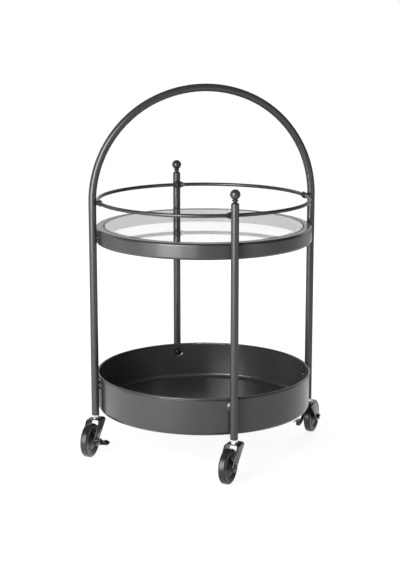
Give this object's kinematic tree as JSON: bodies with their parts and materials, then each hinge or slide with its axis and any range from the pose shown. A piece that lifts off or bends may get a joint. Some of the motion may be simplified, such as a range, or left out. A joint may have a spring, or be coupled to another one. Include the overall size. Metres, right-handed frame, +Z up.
{
  "type": "serving cart",
  "caption": "Round two-tier serving cart with a bent-tube arch handle, a ringed glass shelf, a deep lower tray, ball-topped posts and swivel casters, two of them braked.",
  "frame": {"origin": "on the floor, under the middle of the round shelves", "axes": "+Z up; the bent tube with both legs and the arch stands in the XZ plane; the front post is on -Y"},
  "size_m": [0.5869, 0.6069, 0.8131],
  "materials": {
    "anthracite_paint": "satin powder coat",
    "black_screw": "gloss black",
    "clear_glass": "clear, ground edge",
    "clear_pad": "clear soft plastic",
    "zinc_steel": "zinc plated",
    "bright_zinc": "bright plated",
    "black_plastic": "moulded",
    "caster_steel": "black e-coat",
    "wheel_plastic": "moulded",
    "tyre_rubber": "smooth moulded"
  },
  "bodies": {
    "cart_frame": {"arch_tube": "anthracite_paint", "front_post": "anthracite_paint", "rear_post": "anthracite_paint", "post_caps": "anthracite_paint", "finials": "anthracite_paint", "gallery_rail": "anthracite_paint", "gallery_spacers": "anthracite_paint", "gallery_screws": "black_screw", "shelf_frame": "anthracite_paint", "shelf_spacers": "anthracite_paint", "shelf_screws": "black_screw", "glass_ledge": "anthracite_paint", "glass_pads": "clear_pad", "glass_top": "clear_glass", "tray": "anthracite_paint", "tray_washers": "black_screw", "tray_screws": "black_screw", "rivet_nuts": "zinc_steel", "leg_inserts": "black_plastic", "caster_stems": "bright_zinc", "stem_nuts": "bright_zinc", "thrust_washers": "bright_zinc"},
    "left_swivel": {"left_fork": "caster_steel", "left_axle": "caster_steel", "left_axle_nut": "caster_steel", "left_axle_sleeve": "zinc_steel", "left_brake_cam": "caster_steel"},
    "left_wheel": {"left_wheel": "wheel_plastic", "left_tyre": "tyre_rubber"},
    "left_brake": {"left_brake_lever": "caster_steel"},
    "right_swivel": {"right_fork": "caster_steel", "right_axle": "caster_steel", "right_axle_nut": "caster_steel", "right_axle_sleeve": "zinc_steel", "right_brake_cam": "caster_steel"},
    "right_wheel": {"right_wheel": "wheel_plastic", "right_tyre": "tyre_rubber"},
    "right_brake": {"right_brake_lever": "caster_steel"},
    "front_swivel": {"front_fork": "caster_steel", "front_axle": "caster_steel", "front_axle_nut": "caster_steel", "front_axle_sleeve": "zinc_steel"},
    "front_wheel": {"front_wheel": "wheel_plastic", "front_tyre": "tyre_rubber"},
    "rear_swivel": {"rear_fork": "caster_steel", "rear_axle": "caster_steel", "rear_axle_nut": "caster_steel", "rear_axle_sleeve": "zinc_steel"},
    "rear_wheel": {"rear_wheel": "wheel_plastic", "rear_tyre": "tyre_rubber"}
  },
  "joints": [
    {"name": "left_swivel_turn", "type": "hinge", "parent": "cart_frame", "child": "left_swivel", "pos_m": [-0.2485, 0, 0.0803], "axis": [0, 0, 1], "continuous": true},
    {"name": "left_wheel_roll", "type": "hinge", "parent": "left_swivel", "child": "left_wheel", "pos_m": [-0.26628, -0.02539, 0.0375], "axis": [0.8192, -0.5736, 0], "continuous": true},
    {"name": "left_brake_press", "type": "hinge", "parent": "left_swivel", "child": "left_brake", "pos_m": [-0.26628, -0.02539, 0.0375], "axis": [-0.8192, 0.5736, 0], "range_deg": [0, 25]},
    {"name": "right_swivel_turn", "type": "hinge", "parent": "cart_frame", "child": "right_swivel", "pos_m": [0.2485, 0, 0.0803], "axis": [0, 0, 1], "continuous": true},
    {"name": "right_wheel_roll", "type": "hinge", "parent": "right_swivel", "child": "right_wheel", "pos_m": [0.26694, 0.02492, 0.0375], "axis": [-0.8039, 0.5948, 0], "continuous": true},
    {"name": "right_brake_press", "type": "hinge", "parent": "right_swivel", "child": "right_brake", "pos_m": [0.26694, 0.02492, 0.0375], "axis": [0.8039, -0.5948, 0], "range_deg": [0, 25]},
    {"name": "front_swivel_turn", "type": "hinge", "parent": "cart_frame", "child": "front_swivel", "pos_m": [0, -0.2485, 0.0803], "axis": [0, 0, 1], "continuous": true},
    {"name": "front_wheel_roll", "type": "hinge", "parent": "front_swivel", "child": "front_wheel", "pos_m": [-0.01951, -0.27259, 0.0375], "axis": [0.7771, -0.6293, 0], "continuous": true},
    {"name": "rear_swivel_turn", "type": "hinge", "parent": "cart_frame", "child": "rear_swivel", "pos_m": [0, 0.2485, 0.0803], "axis": [0, 0, 1], "continuous": true},
    {"name": "rear_wheel_roll", "type": "hinge", "parent": "rear_swivel", "child": "rear_wheel", "pos_m": [0.02153, 0.2708, 0.0375], "axis": [-0.7193, 0.6947, 0], "continuous": true}
  ]
}
